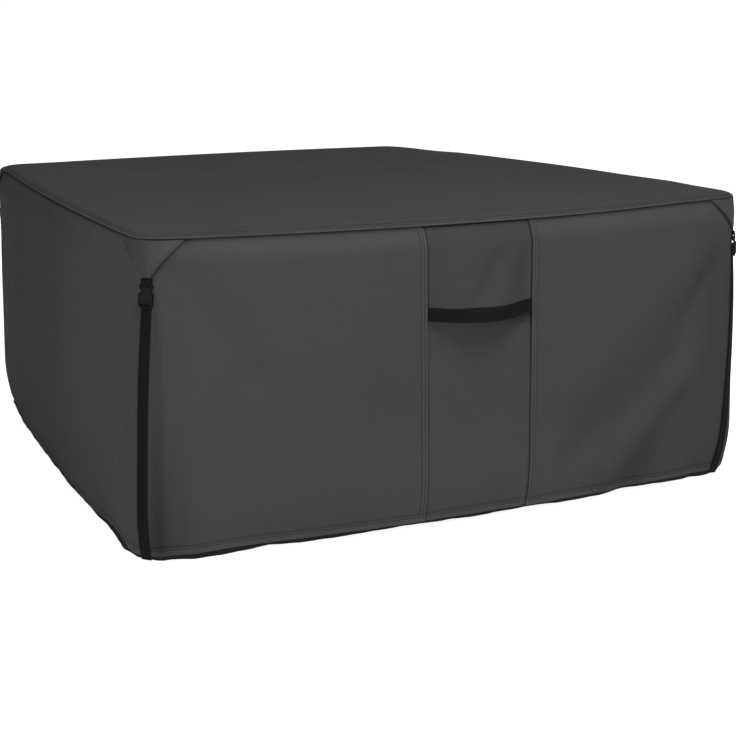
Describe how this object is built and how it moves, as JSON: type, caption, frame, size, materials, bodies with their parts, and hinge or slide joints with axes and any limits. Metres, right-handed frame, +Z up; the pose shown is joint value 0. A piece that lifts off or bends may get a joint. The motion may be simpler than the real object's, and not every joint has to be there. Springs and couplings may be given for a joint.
{
  "type": "patio furniture cover",
  "caption": "Square fitted outdoor furniture cover of dark grey cloth, with a hooded vent in front, triangular corner gussets and buckled corner straps.",
  "frame": {"origin": "on the underside of the top at its middle, where the furniture carries the cover", "axes": "+Z up, the front with the vent faces -Y, and +X is to the right as seen from the front"},
  "size_m": [1.7409, 1.8151, 0.7541],
  "materials": {
    "cover_cloth": "dark grey woven polyester with a coated back, matt with a faint sheen",
    "black_webbing": "black ribbed webbing, matt",
    "hem_tape": "black tape, matt",
    "buckle_plastic": "black moulded plastic, satin"
  },
  "bodies": {
    "root": {"top_panel": "cover_cloth", "front_left_panel": "cover_cloth", "front_centre_panel": "cover_cloth", "front_right_panel": "cover_cloth", "left_wall": "cover_cloth", "right_wall": "cover_cloth", "back_wall": "cover_cloth", "vent_hood": "cover_cloth", "vent_tape": "black_webbing", "gusset_1": "cover_cloth", "strap_loop_1": "black_webbing", "buckle_male_1": "buckle_plastic", "buckle_female_1": "buckle_plastic", "strap_1": "black_webbing", "gusset_2": "cover_cloth", "strap_loop_2": "black_webbing", "buckle_male_2": "buckle_plastic", "buckle_female_2": "buckle_plastic", "strap_2": "black_webbing", "gusset_3": "cover_cloth", "strap_loop_3": "black_webbing", "buckle_male_3": "buckle_plastic", "buckle_female_3": "buckle_plastic", "strap_3": "black_webbing", "gusset_4": "cover_cloth", "strap_loop_4": "black_webbing", "buckle_male_4": "buckle_plastic", "buckle_female_4": "buckle_plastic", "strap_4": "black_webbing", "front_hem_tape": "hem_tape", "right_hem_tape": "hem_tape", "back_hem_tape": "hem_tape", "left_hem_tape": "hem_tape"}
  },
  "joints": []
}
